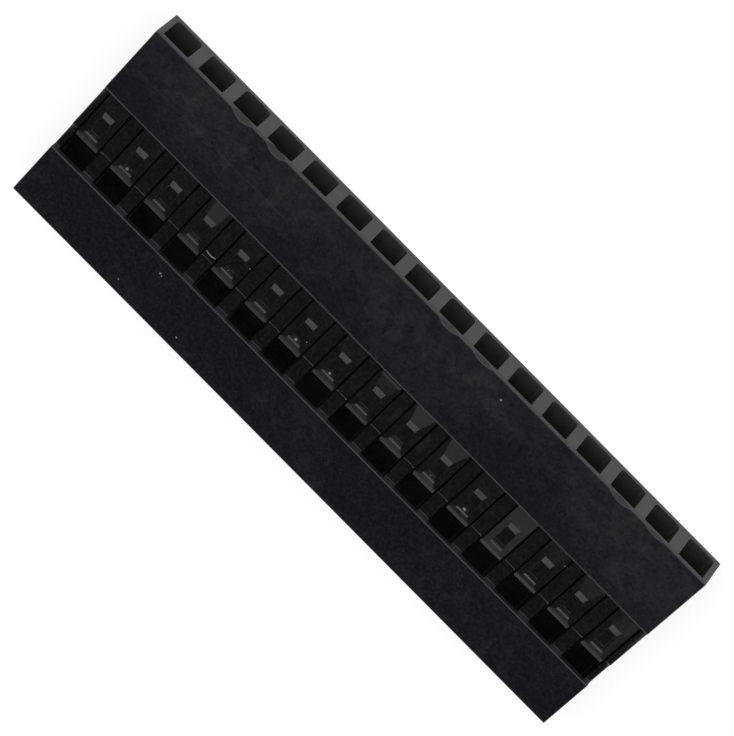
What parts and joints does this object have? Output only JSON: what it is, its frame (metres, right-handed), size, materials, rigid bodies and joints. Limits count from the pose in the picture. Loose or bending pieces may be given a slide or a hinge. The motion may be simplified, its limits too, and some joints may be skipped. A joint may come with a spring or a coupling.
{
  "type": "crimp contact housing",
  "caption": "Single-row black plastic housing for crimped contacts, with square openings in its mating face and moulded latches in a row of windows.",
  "frame": {"origin": "middle of the broad back face that the housing lies on", "axes": "+X along the row of positions, +Y from the mating face to the wire face, +Z out of the window face"},
  "size_m": [0.0406, 0.0136, 0.0025],
  "materials": {
    "black_plastic": "moulded, satin, glass-filled nylon or polyester"
  },
  "bodies": {
    "root": {"housing": "black_plastic"}
  },
  "joints": []
}
